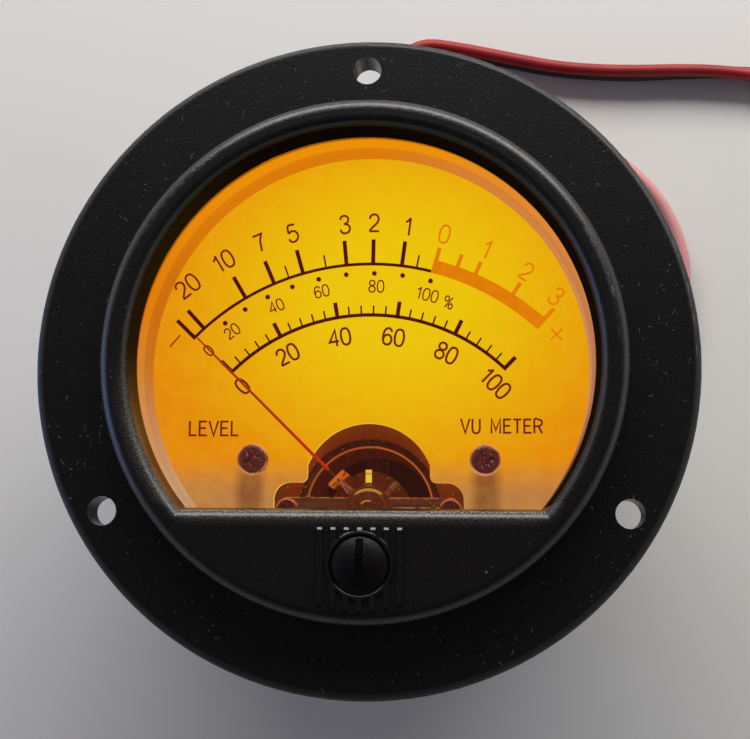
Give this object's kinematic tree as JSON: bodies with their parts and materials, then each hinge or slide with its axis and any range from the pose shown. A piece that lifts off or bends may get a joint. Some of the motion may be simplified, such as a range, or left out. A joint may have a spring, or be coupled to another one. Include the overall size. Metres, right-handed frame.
{
  "type": "analog panel meter",
  "caption": "Round flanged panel meter with a back-lit arc scale, a moving-coil pointer, a zero adjuster and rear screw terminals, for level or voltage display.",
  "frame": {"origin": "centre of the case's rear edge, on the surface that the meter lies on", "axes": "+Z out of the dial's face, +Y to the top of the dial, +X to the right of the dial"},
  "size_m": [0.1215, 0.094, 0.0459],
  "materials": {
    "bezel_black": "satin moulded black plastic with a fine grain",
    "lens_clear": "clear polished window",
    "frame_white": "white moulded plastic that passes the lamps' light",
    "dial_amber": "translucent dial lit from behind, amber",
    "print_dark": "dark brown print",
    "print_orange": "orange print",
    "screw_steel": "plated steel screws",
    "box_white": "white moulded plastic",
    "board_white": "circuit board with a white mask",
    "lamp_clear": "clear lamp body",
    "chip_black": "small black chip",
    "wire_red": "glossy red insulation",
    "wire_black": "glossy black insulation",
    "case_black": "moulded black plastic",
    "iron_grey": "soft-iron ring, turned",
    "magnet_dark": "sintered core magnet",
    "web_alloy": "cast alloy webs",
    "bridge_brass": "stamped brass, dull",
    "brass_bright": "turned brass",
    "jewel_red": "polished synthetic stone",
    "tin_grey": "tinned brass, pale grey",
    "spring_steel": "spring steel",
    "rubber_black": "soft rubber",
    "pointer_red": "red paint",
    "arm_bronze": "phosphor bronze",
    "coil_copper": "enamelled copper wire, stated as brass",
    "former_alloy": "thin aluminium strip"
  },
  "bodies": {
    "case": {"front_bezel": "bezel_black", "window_lens": "lens_clear", "light_frame": "frame_white", "dial_plate": "dial_amber", "scale_marks": "print_dark", "red_zone": "print_orange", "dial_screws": "screw_steel", "light_box": "box_white", "lamp_board": "board_white", "lamps": "lamp_clear", "lamp_resistor": "chip_black", "lamp_wires": "wire_red", "rear_case": "case_black", "case_screws": "screw_steel", "yoke_ring": "iron_grey", "core_magnet": "magnet_dark", "core_webs": "web_alloy", "front_bridge": "bridge_brass", "rear_bridge": "bridge_brass", "bridge_screws": "screw_steel", "rear_bridge_screws": "screw_steel", "front_jewel_screw": "brass_bright", "rear_jewel_screw": "brass_bright", "jewels": "jewel_red", "jewel_lock_nut": "brass_bright", "rear_spring_anchor": "brass_bright", "terminal_studs": "brass_bright", "terminal_nuts": "brass_bright", "terminal_washers": "brass_bright", "solder_lugs": "tin_grey", "strap_plus": "brass_bright", "strap_minus": "brass_bright", "lead_grommet": "rubber_black", "lead_red": "wire_red", "lead_black": "wire_black", "bare_ends": "tin_grey"},
    "zero_adjuster": {"zero_adjuster": "bezel_black", "adjuster_clip": "spring_steel"},
    "zero_lever": {"zero_lever": "brass_bright"},
    "coil": {"pointer": "pointer_red", "pointer_carrier": "arm_bronze", "balance_weights": "tin_grey", "coil_former": "former_alloy", "coil_winding": "coil_copper", "pivots": "screw_steel", "front_hairspring": "arm_bronze", "rear_hairspring": "arm_bronze"}
  },
  "joints": [
    {"name": "zero_adjuster_turn", "type": "hinge", "parent": "case", "child": "zero_adjuster", "pos_m": [0, -0.02425, 0.045], "axis": [0, 0, 1], "range_deg": [-30, 30]},
    {"name": "zero_lever_turn", "type": "hinge", "parent": "case", "child": "zero_lever", "pos_m": [0, -0.01735, 0.031], "axis": [0, 0, 1], "range_deg": [-6, 6]},
    {"name": "pointer_swing", "type": "hinge", "parent": "zero_lever", "child": "coil", "pos_m": [0, -0.01735, 0.031], "axis": [0, 0, -1], "range_deg": [-2, 92], "stiffness_Nm_per_rad": 0.00002}
  ],
  "couplings": [
    {"joint": "zero_lever_turn", "follows": "zero_adjuster_turn", "ratio": -0.1897}
  ]
}
